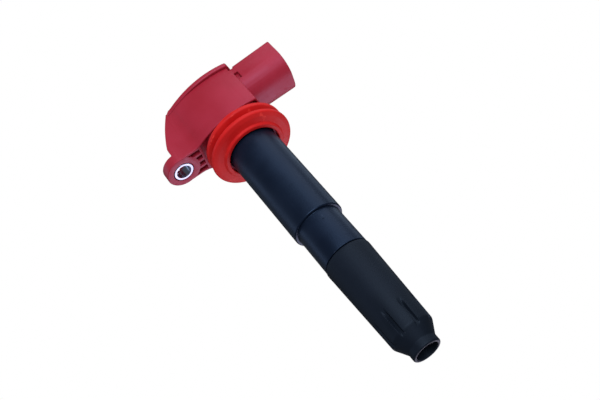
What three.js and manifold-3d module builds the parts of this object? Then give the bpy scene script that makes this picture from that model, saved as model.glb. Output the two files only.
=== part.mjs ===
// Pencil ignition coil: driver head with a four-way plug socket, sealing ring, coil tube and
// spark plug boot. Millimetres, +Z up. The origin is where the coil's axis crosses the face
// that sits on the engine cover; the socket points along +X and the bolt ear along -X.
import * as THREE from 'three';
import { mergeVertices } from 'three/addons/utils/BufferGeometryUtils.js';
import Module from 'manifold-3d';

const wasm = await Module();
wasm.setup();

// Fits and roundness
const fit = 0.3; // room between two pieces that touch
const roundSteps = 40; // sides of the large round shapes
const smallSteps = 20; // sides of the small round shapes

// Coil case: wide tube, neck, and the spigot that the boot grips
const tubeRadius = 12;
const tubeDraft = 0.24; // the tube is this much slimmer at its lower end
const tubeWall = 1.4;
const tubeEnd = 65; // depth of the tube's lower end below the mounting face
const tubeEndRound = 1;
const flangeWidth = 1.1;
const flangeThickness = 1.5;
const neckStep = 1.4; // from the tube's lower end in to the neck
const neckLength = 20;
const spigotStep = 1.75; // from the neck in to the spigot
const spigotLength = 12;
const spigotChamfer = 0.6;
const caseFloor = 1.6;
const boreRadius = 4.8; // bore for the resistor and the spring

// Head, seen from above: two long arcs, a gently bowed end and a web that runs to the ear
const wall = 1.8;
const floorThickness = 2.2;
const cupHeight = 26.7; // from the mounting face to the open rim
const sideRoom = 0.4; // between the case's flange and the long sides
const headWidestX = 3.7; // where the two long sides are furthest apart
const sideRadius = 45.5; // radius of the long sides
const endRadius = 53; // radius of the bowed end, which carries the socket

// Top cover
const coverThickness = 2.5;
const coverOverhang = 0.3;
const coverBevel = 0.5;
const coverRibHeight = 1.1;
const coverRibWidth = 1.4;

// Bolt ear, with side walls that climb to the head on both sides of the bolt's well
const boltReach = 31.2; // from the coil's axis to the bolt's
const bushingBore = 3.3; // radius, clears an M6 bolt
const bushingWall = 1.55;
const bushingProud = 0.2;
const bushingChamfer = 0.5;
const earWall = 2.95;
const earThickness = 5;
const wellRadius = 6.3; // room for the bolt's head and the tool
const wellWall = 2.9; // between the well and the cover's end
const wingWall = 1.7;
const wingPastBolt = 0.7; // the side walls end this far beyond the bolt's axis
const wingStep = 4.5; // upright part of the side walls' free edge
const wingBulge = 1; // how far their sloping edge bows out
const wingLedge = 0.8; // from the cover's end to the top of that edge
const wingRise = 1.2; // beside the cover's end the side walls stand this far above its underside

// Pockets that core out the web, open downwards
const pocketCount = 4;
const pocketRib = 1.1;
const pocketEdge = 0.85; // outer wall beside the first and last pocket
const pocketDepth = 14;
const pocketRoom = 8.3; // from the tube to the pockets
const bossWall = 0.2; // the ring round the bushing is this much wider than the ear

// Lead socket
const socketHalfWidth = 11.6;
const socketHeight = 19;
const socketDrop = 0.2; // from the cover's top down to the socket's
const socketReach = 21.7; // from the head's end to the mouth
const socketFloor = 3.3; // from the head's end to the bottom of the hollow
const socketWall = 1.6;
const socketCorner = 1.6; // radius of the two upper corners
const socketBelly = 9.5; // and of the two lower ones
const keyWidth = 4; // coding rib under the roof of the socket
const keyHeight = 1.4;

// Terminals
const terminalCount = 4;
const terminalPitch = 3.6;
const terminalWidth = 1.6;
const terminalThickness = 0.8;
const terminalInset = 5; // from the mouth back to the tips
const terminalBend = 6.6; // from the head's end to the bend inside the cup
const terminalTaper = 1.2;

// Collar under the head, and the sealing ring on it
const collarWall = 1.3;
const collarLength = 11;
const sealWall = 2.3;
const sealLipReach = 4.2;
const sealUpperLip = 4.6; // depth of the lips below the mounting face
const sealLowerLip = 10.1;
const sealLipHalf = 0.95; // half the thickness of a lip's edge
const sealLipRound = 0.7; // how far the rounded edge reaches in
const sealLipRoot = 1.4; // half the thickness where a lip leaves the ring
const sealSkirt = 2.6; // length of the ring below the collar
const sealSkirtGap = 0.9; // between the ring's lower end and the tube
const sealSkirtTaper = 1.1; // extra length of the slope under the lower lip

// Coil stack, from the case inwards
const stackDrop = 1.5; // from the mounting face to the top of the stack
const stackRoom = 4.9; // under the stack, for the diode
const shieldThickness = 0.7;
const shieldSlit = 1.6;
const primaryThickness = 0.9;
const bobbinWall = 0.8;
const bobbinFlange = 1.2;
const secondaryTop = 1.4; // winding thickness at its low-voltage end
const secondaryBottom = 0.8; // and at its high-voltage end
const magnetThickness = 3.5;
const cushionThickness = 1.6;

// High-voltage end
const diodeRadius = 1.3;
const diodeLength = 7;
const diodeLeadRadius = 0.35;
const diodeLeadLength = 2;
const terminalFlange = 1.7; // how far the terminal's plate overlaps the floor
const terminalFlangeThickness = 0.9;
const terminalStemLength = 4;
const resistorLength = 23.5;
const resistorCapLength = 4;
const resistorWaist = 0.4;

// Spark plug boot
const bootBore = 4.75;
const bootProud = 0.3; // the boot is this much wider than the neck at its top
const bootBead = 0.25; // the rounded bead along the boot's top edge stands this proud
const bootBeadWidth = 2;
const bootBeadFade = 2; // from the bead down to the plain body
const bootTaper = 1.2; // the body loses this much radius down to its shoulder
const bootBodyLength = 41.5;
const bootShoulderLength = 5.6;
const bootTipLength = 3.3;
const bootTipWall = 1.45;
const bootTipChamfer = 0.5;
const fluteCount = 8;
const fluteWidth = 2.6;
const fluteLength = 14;
const fluteDepth = 0.9;
const fluteTurn = 17.5; // degrees from the +X axis to the first flute

// Spring and moving contact
const springTurns = 9;
const springWire = 0.45; // radius
const springLength = 24.5;
const springSteps = 10; // steps in each turn
const contactRoom = 0.55; // between the contact and the boot's bore
const contactLength = 6;
const contactWall = 0.9;
const contactDepth = 4.2; // of the hollow that takes the plug's tip
const contactLeadIn = 0.3; // slant on the contact's lower edge, measured inwards
const contactLeadHeight = 0.6;

// Electronics in the head
const carrierRing = 2;
const carrierPost = 2.6;
const boardDrop = 14.1; // from the cup's rim down to the board
const boardThickness = 1.2;
const boardClearance = 0.8; // between the board's edge and the cup
const boardReach = 15; // from the coil's axis towards the ear
const chipSize = [11, 9.5, 3];
const chipX = -2;
const spreaderThickness = 1.2;
const capacitorSize = [4, 6.5, 3.2];
const capacitorX = -11;
const leadRadius = 0.45;
const leadInset = 0.85; // the winding leads stand this far inside the primary's rim

// Sizes that follow from the ones above
const flangeRadius = tubeRadius + flangeWidth;
const headHalfWidth = flangeRadius + sideRoom + wall;
const endX = flangeRadius + fit + wall;
const boltX = -boltReach;
const bushingRadius = bushingBore + bushingWall;
const earRadius = bushingRadius + fit + earWall;
const bossRadius = earRadius + bossWall;
const webHalfWidth = wellRadius + wingWall;
const coverLeftX = boltX + wellRadius + wellWall;
const wingEndX = boltX - wingPastBolt;
const pocketRightX = -tubeRadius - pocketRoom;
const pocketPitch = (2 * (webHalfWidth - pocketEdge) + pocketRib) / pocketCount;
const coverBottom = cupHeight + fit;
const wingTop = coverBottom + wingRise;
const socketTop = coverBottom + coverThickness - socketDrop;
const socketBottom = socketTop - socketHeight;
const socketMouthX = endX + socketReach;
const socketFloorX = endX + socketFloor;
const terminalZ = (socketBottom + socketTop - keyHeight) / 2;
const terminalTipX = socketMouthX - terminalInset;
const terminalBendX = endX - terminalBend;
const collarRadius = tubeRadius + fit + collarWall;
const sealBore = collarRadius + fit;
const sealRootRadius = sealBore + sealWall;
const sealLipRadius = sealRootRadius + sealLipReach;
const sealEnd = collarLength + sealSkirt;
const neckRadius = tubeRadius - tubeDraft - neckStep;
const neckEnd = tubeEnd + neckLength;
const spigotRadius = neckRadius - spigotStep;
const spigotEnd = neckEnd + spigotLength;
const caseInner = tubeRadius - tubeDraft - tubeWall;
const caseFloorTop = caseFloor - tubeEnd;
const plateTop = caseFloorTop + fit + terminalFlangeThickness;
const stemEnd = caseFloorTop + fit - terminalStemLength;
const stackTop = -stackDrop;
const stackBottom = plateTop + stackRoom;
const shieldRadius = caseInner - fit;
const primaryRadius = shieldRadius - shieldThickness - fit;
const outerBobbinRadius = primaryRadius - primaryThickness - fit;
const secondaryRadius = outerBobbinRadius - bobbinWall - fit;
const innerBobbinRadius = secondaryRadius - secondaryTop - fit;
const coreRadius = innerBobbinRadius - bobbinWall - fit;
const leadCircle = primaryRadius - leadInset;
const boardZ = cupHeight - boardDrop;
const boardTop = boardZ + boardThickness;
const chipTop = boardTop + fit + chipSize[2];
const spreaderTop = chipTop + fit + spreaderThickness;
const resistorTop = stemEnd - fit;
const resistorEnd = resistorTop - resistorLength;
const bootTopRadius = neckRadius + bootProud;
const bootEndRadius = bootTopRadius - bootTaper;
const bootShoulder = neckEnd + bootBodyLength;
const bootTipTop = bootShoulder + bootShoulderLength;
const bootTip = bootTipTop + bootTipLength;
const bootTipRadius = bootBore + bootTipWall;
const fluteTop = bootShoulder - fluteLength;
const contactRadius = bootBore - contactRoom;
const contactSocket = contactRadius - contactWall;
const springRadius = contactRadius - 2 * springWire;
const springTop = resistorEnd - fit - springWire;
const springEnd = springTop - springLength;
const contactTop = springEnd - springWire - fit;

// ---- Geometry helpers ----

function signedVolume(position, index) {
  const a = new THREE.Vector3();
  const b = new THREE.Vector3();
  const c = new THREE.Vector3();
  let volume = 0;
  for (let i = 0; i < index.length; i += 3) {
    a.fromBufferAttribute(position, index[i]);
    b.fromBufferAttribute(position, index[i + 1]);
    c.fromBufferAttribute(position, index[i + 2]);
    volume += a.dot(b.cross(c)) / 6;
  }
  return volume;
}

// Turns a closed three.js geometry into a solid that can be joined and cut
function solid(geometry) {
  geometry.deleteAttribute('normal');
  geometry.deleteAttribute('uv');
  const merged = mergeVertices(geometry, 1e-5);
  const index = Array.from(merged.index.array);
  const triangles = [];
  for (let i = 0; i < index.length; i += 3) {
    const [a, b, c] = index.slice(i, i + 3);
    if (a !== b && b !== c && c !== a) triangles.push(a, b, c);
  }
  if (signedVolume(merged.attributes.position, triangles) < 0) triangles.reverse();
  return new wasm.Manifold(new wasm.Mesh({
    numProp: 3,
    vertProperties: Float32Array.from(merged.attributes.position.array),
    triVerts: Uint32Array.from(triangles),
  }));
}

// A solid of revolution about Z from a closed outline of [radius, z] points
function turned(outline, steps = roundSteps) {
  const points = outline.map(([radius, z]) => new THREE.Vector2(radius, z));
  if (outline[0][0] > 0 || outline.at(-1)[0] > 0) points.push(points[0].clone());
  return solid(new THREE.LatheGeometry(points, steps).rotateX(Math.PI / 2));
}

function ring(outer, inner, bottom, top, steps = roundSteps) {
  return turned([[inner, bottom], [outer, bottom], [outer, top], [inner, top]], steps);
}

function rod(radius, bottom, top, steps = smallSteps) {
  return turned([[0, bottom], [radius, bottom], [radius, top], [0, top]], steps);
}

function box(x, y, z) {
  const geometry = new THREE.BoxGeometry(x[1] - x[0], y[1] - y[0], z[1] - z[0]);
  geometry.translate((x[0] + x[1]) / 2, (y[0] + y[1]) / 2, (z[0] + z[1]) / 2);
  return solid(geometry);
}

// A shape drawn in X and Y, raised from bottom to top
function raised(shape, bottom, top, options = {}) {
  const settings = { depth: top - bottom, bevelEnabled: false, curveSegments: 9, ...options };
  return solid(new THREE.ExtrudeGeometry(shape, settings).translate(0, 0, bottom));
}

// A shape drawn in Y and Z, stretched along X
function alongX(shape, from, to) {
  const settings = { depth: to - from, bevelEnabled: false, curveSegments: 6 };
  const geometry = new THREE.ExtrudeGeometry(shape, settings);
  const turn = new THREE.Matrix4().makeBasis(
    new THREE.Vector3(0, 1, 0), new THREE.Vector3(0, 0, 1), new THREE.Vector3(1, 0, 0));
  return solid(geometry.applyMatrix4(turn).translate(from, 0, 0));
}

// A shape drawn in X and Z, stretched along Y to both sides of the middle
function alongY(shape, halfWidth) {
  const settings = { depth: 2 * halfWidth, bevelEnabled: false, curveSegments: 10 };
  const geometry = new THREE.ExtrudeGeometry(shape, settings);
  const turn = new THREE.Matrix4().makeBasis(
    new THREE.Vector3(1, 0, 0), new THREE.Vector3(0, 0, 1), new THREE.Vector3(0, -1, 0));
  return solid(geometry.applyMatrix4(turn).translate(0, halfWidth, 0));
}

// The socket's outline in Y and Z, made smaller by a margin
function socketOutline(margin) {
  const half = socketHalfWidth - margin;
  const bottom = socketBottom + margin;
  const top = socketTop - margin;
  const low = socketBelly - margin;
  const high = socketCorner - margin / 2;
  const shape = new THREE.Shape();
  shape.absarc(half - low, bottom + low, low, -Math.PI / 2, 0);
  shape.absarc(half - high, top - high, high, 0, Math.PI / 2);
  shape.absarc(high - half, top - high, high, Math.PI / 2, Math.PI);
  shape.absarc(low - half, bottom + low, low, Math.PI, Math.PI * 1.5);
  return shape;
}

// Places along Y that are spread evenly about the middle
function spread(count, pitch) {
  return Array.from({ length: count }, (_, i) => (i - (count - 1) / 2) * pitch);
}

function piece(name, body, color, roughness, metalness = 0) {
  const result = body.getMesh();
  const geometry = new THREE.BufferGeometry();
  geometry.setAttribute('position', new THREE.BufferAttribute(result.vertProperties, 3));
  geometry.setIndex(new THREE.BufferAttribute(result.triVerts, 1));
  const material = new THREE.MeshStandardMaterial({ color, roughness, metalness });
  const mesh = new THREE.Mesh(geometry, material);
  mesh.name = name;
  return mesh;
}

// ---- Head ----

// The head from above, grown by a margin, closed on the left by a straight edge at leftX
function headOutline(grow, leftX) {
  const side = sideRadius + grow;
  const end = endRadius + grow;
  const sideY = headHalfWidth - sideRadius; // centre of the arc on the +Y side
  const endCentre = endX - endRadius;
  const web = webHalfWidth + grow;
  const webAngle = Math.PI - Math.asin((web - sideY) / side);
  const leftAngle = Math.PI - Math.acos(Math.min(1, (headWidestX - leftX) / side));
  const lastAngle = Math.min(webAngle, leftAngle);
  const leftY = sideY + side * Math.sin(lastAngle);
  // The corner lies on both arcs: their centres are apart by (across, sideY)
  const across = headWidestX - endCentre;
  const apart = Math.hypot(across, sideY);
  const turnFromLine = Math.acos((end ** 2 + apart ** 2 - side ** 2) / (2 * end * apart));
  const endAngle = Math.atan2(sideY, across) + turnFromLine;
  const corner = new THREE.Vector2(endCentre + end * Math.cos(endAngle), end * Math.sin(endAngle));
  const sideAngle = Math.atan2(corner.y - sideY, corner.x - headWidestX);
  const shape = new THREE.Shape();
  shape.absarc(endCentre, 0, end, -endAngle, endAngle);
  shape.absarc(headWidestX, sideY, side, sideAngle, lastAngle);
  shape.lineTo(leftX, leftY);
  shape.lineTo(leftX, -leftY);
  shape.absarc(headWidestX, -sideY, side, -lastAngle, -sideAngle);
  return shape;
}

// Everything to the left of the wings' sloping free edge, above the ear
function wingCutter() {
  const foot = new THREE.Vector2(wingEndX, earThickness + wingStep);
  const peak = new THREE.Vector2(coverLeftX - wingLedge, wingTop);
  const slope = peak.clone().sub(foot).normalize();
  const bow = new THREE.Vector2(-slope.y, slope.x).multiplyScalar(2 * wingBulge);
  const middle = foot.clone().add(peak).multiplyScalar(0.5).add(bow);
  const far = boltX - 2 * earRadius;
  const shape = new THREE.Shape();
  shape.moveTo(far, earThickness);
  shape.lineTo(wingEndX, earThickness);
  shape.lineTo(foot.x, foot.y);
  shape.quadraticCurveTo(middle.x, middle.y, peak.x, peak.y);
  shape.lineTo(peak.x, wingTop + wall);
  shape.lineTo(far, wingTop + wall);
  return alongY(shape, 2 * earRadius);
}

// The top of the side walls, which stops short of the cover
function wingTops() {
  const overCup = box([coverLeftX - fit, endX + wall], [-2 * headHalfWidth, 2 * headHalfWidth],
    [0, wingTop + wall]);
  return raised(headOutline(0, boltX), cupHeight - wall, wingTop).subtract(overCup);
}

function boltWell() {
  const top = wingTop + wall;
  const bore = rod(wellRadius, earThickness, top, roundSteps).translate([boltX, 0, 0]);
  const mouth = box([boltX - 2 * earRadius, boltX], [-wellRadius, wellRadius], [earThickness, top]);
  return bore.add(mouth);
}

function pockets() {
  const boss = rod(bossRadius, -wall, pocketDepth + wall, roundSteps).translate([boltX, 0, 0]);
  const half = (pocketPitch - pocketRib) / 2;
  return spread(pocketCount, pocketPitch)
    .map((y) => box([boltX, pocketRightX], [y - half, y + half], [-wall, pocketDepth]))
    .reduce((all, next) => all.add(next))
    .subtract(boss);
}

function socketShell() {
  const coverEnd = endX + coverOverhang + fit;
  const clearOfCover = box([0, coverEnd], [-headHalfWidth, headHalfWidth], [cupHeight, socketTop + wall]);
  return alongX(socketOutline(0), endX - 2 * wall, socketMouthX).subtract(clearOfCover);
}

function socketHollow() {
  const roof = socketTop - socketWall;
  const half = keyWidth / 2;
  const key = box([socketFloorX, socketMouthX + wall], [-half, half], [roof - keyHeight, roof + wall]);
  return alongX(socketOutline(socketWall), socketFloorX, socketMouthX + wall).subtract(key);
}

function terminalSlots() {
  const half = terminalWidth / 2 + fit;
  const z = [terminalZ - terminalThickness / 2 - fit, terminalZ + terminalThickness / 2 + fit];
  return spread(terminalCount, terminalPitch)
    .map((y) => box([0, socketFloorX + wall], [y - half, y + half], z))
    .reduce((all, next) => all.add(next));
}

function housing() {
  const pocketWall = pocketRightX + wall;
  const ear = rod(earRadius, 0, cupHeight, roundSteps).translate([boltX, 0, 0]);
  const bushingHole = rod(bushingRadius + fit, -wall, earThickness + wall, roundSteps)
    .translate([boltX, 0, 0]);
  return raised(headOutline(0, boltX), 0, cupHeight)
    .add(ear)
    .add(wingTops())
    .add(socketShell())
    .add(rod(collarRadius, -collarLength, floorThickness, roundSteps))
    .subtract(raised(headOutline(-wall, pocketWall), floorThickness, cupHeight + wall))
    .subtract(rod(tubeRadius + fit, -collarLength - wall, floorThickness + wall, roundSteps))
    .subtract(boltWell())
    .subtract(wingCutter())
    .subtract(pockets())
    .subtract(bushingHole)
    .subtract(socketHollow())
    .subtract(terminalSlots());
}

// The cover's rim overhangs the cup; a rib under it drops inside the wall
function topCover() {
  const plate = raised(headOutline(coverOverhang - coverBevel, coverLeftX + coverBevel),
    coverBottom + coverBevel, coverBottom + coverThickness - coverBevel,
    { bevelEnabled: true, bevelSize: coverBevel, bevelThickness: coverBevel, bevelSegments: 1 });
  const ribLeft = pocketRightX + wall + fit;
  const ribBottom = coverBottom - coverRibHeight;
  const rib = raised(headOutline(-wall - fit, ribLeft), ribBottom, coverBottom + coverBevel);
  const inside = raised(headOutline(-wall - fit - coverRibWidth, ribLeft + coverRibWidth),
    ribBottom - wall, coverBottom);
  return plate.add(rib.subtract(inside));
}

function boltBushing() {
  const top = earThickness + bushingProud;
  return turned([
    [bushingBore, 0], [bushingRadius, 0], [bushingRadius, top - bushingChamfer],
    [bushingRadius - bushingChamfer, top], [bushingBore, top]], roundSteps)
    .translate([boltX, 0, 0]);
}

function terminal() {
  const half = terminalThickness / 2;
  const shape = new THREE.Shape();
  shape.moveTo(terminalBendX, boardTop + fit);
  shape.lineTo(terminalBendX + terminalThickness, boardTop + fit);
  shape.lineTo(terminalBendX + terminalThickness, terminalZ - half);
  shape.lineTo(terminalTipX - terminalTaper, terminalZ - half);
  shape.lineTo(terminalTipX, terminalZ - half / 2);
  shape.lineTo(terminalTipX, terminalZ + half / 2);
  shape.lineTo(terminalTipX - terminalTaper, terminalZ + half);
  shape.lineTo(terminalBendX, terminalZ + half);
  return alongY(shape, terminalWidth / 2);
}

// ---- Electronics ----

function moduleCarrier() {
  const bottom = floorThickness + fit + flangeThickness + fit;
  const inner = tubeRadius - carrierRing;
  const hoop = ring(flangeRadius, inner, bottom, bottom + carrierRing);
  const post = rod(carrierPost / 2, bottom, boardZ - fit, 16)
    .translate([(flangeRadius + inner) / 2, 0, 0]);
  return [45, 135, 225, 315]
    .map((turn) => post.rotate([0, 0, turn]))
    .reduce((all, next) => all.add(next), hoop);
}

function driverBoard() {
  return raised(headOutline(-wall - boardClearance, -boardReach), boardZ, boardTop);
}

function onBoard([length, width, height], x) {
  const bottom = boardTop + fit;
  return box([x - length / 2, x + length / 2], [-width / 2, width / 2], [bottom, bottom + height]);
}

function heatSpreader() {
  const half = [chipSize[0] / 2, chipSize[1] / 2 + carrierPost];
  return box([chipX - half[0], chipX + half[0]], [-half[1], half[1]], [chipTop + fit, spreaderTop]);
}

function sealingResin() {
  const bottom = spreaderTop + fit;
  const top = coverBottom - coverRibHeight - fit;
  const reach = spread(terminalCount, terminalPitch).at(-1) + terminalWidth;
  const clearOfTerminals = box([terminalBendX - 2 * fit, endX], [-reach, reach],
    [bottom - wall, terminalZ + terminalThickness / 2 + fit]);
  return raised(headOutline(-wall - fit, pocketRightX + wall + fit), bottom, top)
    .subtract(clearOfTerminals);
}

// Both winding leads stand towards the ear, a third of a turn apart
function atLead(body, side) {
  const angle = side * (Math.PI / 3);
  return body.translate([-leadCircle * Math.cos(angle), leadCircle * Math.sin(angle), 0]);
}

function windingLead(side) {
  return atLead(rod(leadRadius, stackTop + fit, boardZ - fit, 12), side);
}

// Resin that fills the mouth of the case under the board
function caseResin() {
  const radius = tubeRadius - carrierRing - fit;
  const plug = rod(radius, stackTop + fit, boardZ - 2 * fit, roundSteps);
  const hole = rod(leadRadius + fit, stackTop - wall, boardZ, 12);
  return plug.subtract(atLead(hole, 1)).subtract(atLead(hole, -1));
}

// ---- Sealing ring ----

// Points of a lip's rounded edge, from its lower side to its upper side
function sealLip(depth) {
  return [-90, -45, 0, 45, 90].map((turn) => {
    const angle = THREE.MathUtils.degToRad(turn);
    const radius = sealLipRadius - sealLipRound * (1 - Math.cos(angle));
    return [radius, -depth + sealLipHalf * Math.sin(angle)];
  });
}

function coilSeal() {
  const skirtBore = tubeRadius + sealSkirtGap;
  const skirtRadius = (sealBore + sealRootRadius) / 2 - fit;
  return turned([
    [sealBore, -fit],
    [sealBore, -collarLength - fit],
    [skirtBore, -collarLength - 2 * fit],
    [skirtBore, -sealEnd],
    [skirtRadius - fit, -sealEnd],
    [skirtRadius, -sealEnd + fit],
    [sealRootRadius, -sealLowerLip - sealLipRoot - sealSkirtTaper],
    ...sealLip(sealLowerLip),
    [sealRootRadius, -sealLowerLip + sealLipRoot],
    [sealRootRadius, -sealUpperLip - sealLipRoot],
    ...sealLip(sealUpperLip),
    [sealRootRadius, -sealUpperLip + sealLipRoot],
    [sealRootRadius, -fit],
  ]);
}

// ---- Coil case and boot ----

// Points of a quarter round between a side wall and a lower end face
function roundedFoot(radius, z, round) {
  return [0, 1, 2, 3].map((i) => {
    const angle = (i / 3) * (Math.PI / 2);
    return [radius - round + round * Math.sin(angle), z + round - round * Math.cos(angle)];
  });
}

function coilCase() {
  const top = floorThickness + fit + flangeThickness;
  const foot = tubeRadius - tubeDraft;
  return turned([
    [boreRadius, -spigotEnd],
    [spigotRadius - spigotChamfer, -spigotEnd],
    [spigotRadius, -spigotEnd + spigotChamfer],
    [spigotRadius, -neckEnd],
    [neckRadius, -neckEnd],
    [neckRadius, -tubeEnd],
    ...roundedFoot(foot, -tubeEnd, tubeEndRound),
    [tubeRadius, floorThickness + fit],
    [flangeRadius, floorThickness + fit],
    [flangeRadius, top],
    [caseInner, top],
    [caseInner, caseFloorTop],
    [boreRadius, caseFloorTop],
  ]);
}

function bootRadiusAt(depth) {
  const along = (depth - neckEnd) / (bootShoulder - neckEnd);
  return bootTopRadius + (bootEndRadius - bootTopRadius) * along;
}

function flutes() {
  const length = bootShoulder - fluteTop;
  const across = fluteWidth / 2;
  const groove = rod(across, -bootTipTop, -fluteTop + across, 12)
    .translate([bootRadiusAt(fluteTop + length / 2) + across - fluteDepth, 0, 0]);
  return Array.from({ length: fluteCount }, (_, i) => (360 / fluteCount) * i + fluteTurn)
    .map((turn) => groove.rotate([0, 0, turn]))
    .reduce((all, next) => all.add(next));
}

function plugBoot() {
  const shoulder = (bootEndRadius + bootTipRadius) / 2;
  const body = turned([
    [bootBore, -bootTip],
    [bootTipRadius - bootTipChamfer, -bootTip],
    [bootTipRadius, -bootTip + bootTipChamfer],
    [bootTipRadius, -bootTipTop],
    [shoulder, -(bootShoulder + bootTipTop) / 2],
    [bootEndRadius, -bootShoulder],
    [bootTopRadius, -neckEnd - bootBeadWidth - bootBeadFade],
    [bootTopRadius + bootBead, -neckEnd - bootBeadWidth],
    [bootTopRadius + bootBead, -neckEnd - 2 * fit],
    [bootTopRadius, -neckEnd - fit],
    [spigotRadius + fit, -neckEnd - fit],
    [spigotRadius + fit, -spigotEnd - fit],
    [bootBore, -spigotEnd - fit],
  ]);
  return body.subtract(flutes());
}

// ---- Coil stack ----

function coreShield() {
  const half = shieldSlit / 2;
  const slit = box([0, tubeRadius], [-half, half], [stackBottom - wall, stackTop + wall]);
  return ring(shieldRadius, shieldRadius - shieldThickness, stackBottom, stackTop).subtract(slit);
}

function primaryWinding() {
  const reach = bobbinFlange + fit;
  return ring(primaryRadius, primaryRadius - primaryThickness, stackBottom + reach, stackTop - reach);
}

function bobbin(outer, flange) {
  const inner = outer - bobbinWall;
  return turned([
    [inner, stackBottom],
    [flange, stackBottom],
    [flange, stackBottom + bobbinFlange],
    [outer, stackBottom + bobbinFlange],
    [outer, stackTop - bobbinFlange],
    [flange, stackTop - bobbinFlange],
    [flange, stackTop],
    [inner, stackTop],
  ], roundSteps);
}

function secondaryWinding() {
  const inner = secondaryRadius - secondaryTop;
  const bottom = stackBottom + bobbinFlange + fit;
  const top = stackTop - bobbinFlange - fit;
  return turned([
    [inner, bottom],
    [inner + secondaryBottom, bottom],
    [secondaryRadius, top],
    [inner, top],
  ]);
}

// Cushions close both ends of the core, with a magnet behind each
function coreParts() {
  const cushionTop = stackTop;
  const magnetTop = cushionTop - cushionThickness - fit;
  const coreTop = magnetTop - magnetThickness - fit;
  const magnetBottom = stackBottom + cushionThickness + fit;
  const coreBottom = magnetBottom + magnetThickness + fit;
  const steel = [0x6e7278, 0.45, 0.9];
  const magnet = [0x3b3d42, 0.4, 0.7];
  const rubber = [0x2a2623, 0.85];
  return [
    piece('core_cushion_upper', rod(coreRadius, cushionTop - cushionThickness, cushionTop), ...rubber),
    piece('core_magnet_upper', rod(coreRadius, coreTop + fit, magnetTop), ...magnet),
    piece('iron_core', rod(coreRadius, coreBottom, coreTop), ...steel),
    piece('core_magnet_lower', rod(coreRadius, magnetBottom, coreBottom - fit), ...magnet),
    piece('core_cushion_lower', rod(coreRadius, stackBottom, stackBottom + cushionThickness), ...rubber),
  ];
}

// ---- High-voltage end ----

function highVoltageDiode() {
  const lead = diodeLength / 2 + diodeLeadLength;
  const z = (plateTop + stackBottom) / 2;
  return rod(diodeRadius, -diodeLength / 2, diodeLength / 2, 16)
    .add(rod(diodeLeadRadius, -lead, lead, 16))
    .rotate([90, 0, 0])
    .translate([0, 0, z]);
}

function highVoltageTerminal() {
  const stem = boreRadius - fit;
  const plate = boreRadius + terminalFlange;
  return turned([
    [0, stemEnd],
    [stem, stemEnd],
    [stem, caseFloorTop + fit],
    [plate, caseFloorTop + fit],
    [plate, plateTop],
    [0, plateTop],
  ], smallSteps);
}

function suppressionResistor() {
  const cap = boreRadius - fit;
  const waist = cap - resistorWaist;
  return turned([
    [0, resistorEnd],
    [cap, resistorEnd],
    [cap, resistorEnd + resistorCapLength],
    [waist, resistorEnd + resistorCapLength],
    [waist, resistorTop - resistorCapLength],
    [cap, resistorTop - resistorCapLength],
    [cap, resistorTop],
    [0, resistorTop],
  ], smallSteps);
}

class Helix extends THREE.Curve {
  getPoint(t, target = new THREE.Vector3()) {
    const angle = t * springTurns * 2 * Math.PI;
    const z = springEnd + t * springLength;
    return target.set(springRadius * Math.cos(angle), springRadius * Math.sin(angle), z);
  }
}

function contactSpring() {
  const section = new THREE.Shape();
  section.absarc(0, 0, springWire, 0, 2 * Math.PI);
  return solid(new THREE.ExtrudeGeometry(section, {
    steps: springTurns * springSteps,
    curveSegments: 3,
    extrudePath: new Helix(),
  }));
}

function plugContact() {
  const bottom = contactTop - contactLength;
  return turned([
    [contactSocket, bottom],
    [contactRadius - contactLeadIn, bottom],
    [contactRadius, bottom + contactLeadHeight],
    [contactRadius, contactTop],
    [0, contactTop],
    [0, bottom + contactDepth],
    [contactSocket, bottom + contactDepth],
  ], smallSteps);
}

// ---- Assembly ----

const red = 0x9b2a37;
const silicone = 0xbe1414;
const black = 0x1b1f2b;
const tin = 0xc9ccd0;

const coil = new THREE.Group();
coil.add(
  piece('housing', housing(), red, 0.5),
  piece('top_cover', topCover(), red, 0.5),
  piece('bolt_bushing', boltBushing(), 0xd6d8dc, 0.25, 1),
);
spread(terminalCount, terminalPitch).forEach((y, i) => {
  const blade = piece(`terminal_${i + 1}`, terminal(), tin, 0.3, 1);
  blade.position.y = y;
  coil.add(blade);
});
coil.add(
  piece('module_carrier', moduleCarrier(), 0x24262b, 0.6),
  piece('driver_board', driverBoard(), 0x2e5a3a, 0.55),
  piece('driver_chip', onBoard(chipSize, chipX), 0x1c1c1f, 0.5),
  piece('capacitor', onBoard(capacitorSize, capacitorX), 0x9a6a3c, 0.5),
  piece('heat_spreader', heatSpreader(), 0xb87746, 0.35, 1),
  piece('sealing_resin', sealingResin(), 0x1a1a1c, 0.35),
  piece('case_resin', caseResin(), 0x1a1a1c, 0.35),
  piece('winding_lead_1', windingLead(1), 0xb8673a, 0.35, 1),
  piece('winding_lead_2', windingLead(-1), 0xb8673a, 0.35, 1),
  piece('coil_seal', coilSeal(), silicone, 0.6),
  piece('coil_case', coilCase(), black, 0.4),
  piece('core_shield', coreShield(), 0x83878d, 0.4, 0.9),
  piece('primary_winding', primaryWinding(), 0xb5622f, 0.35, 0.9),
  piece('primary_bobbin', bobbin(outerBobbinRadius, primaryRadius), 0xd9d2bd, 0.6),
  piece('secondary_winding', secondaryWinding(), 0xa85a2c, 0.35, 0.9),
  piece('secondary_bobbin', bobbin(innerBobbinRadius, secondaryRadius), 0xd9d2bd, 0.6),
  ...coreParts(),
  piece('high_voltage_diode', highVoltageDiode(), 0x1e1e20, 0.4),
  piece('high_voltage_terminal', highVoltageTerminal(), 0xc8a657, 0.35, 1),
  piece('suppression_resistor', suppressionResistor(), 0xe3ded2, 0.5),
  piece('plug_boot', plugBoot(), black, 0.6),
  piece('contact_spring', contactSpring(), 0xbfc3c8, 0.3, 1),
  piece('plug_contact', plugContact(), 0xc8a657, 0.3, 1),
);

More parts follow.
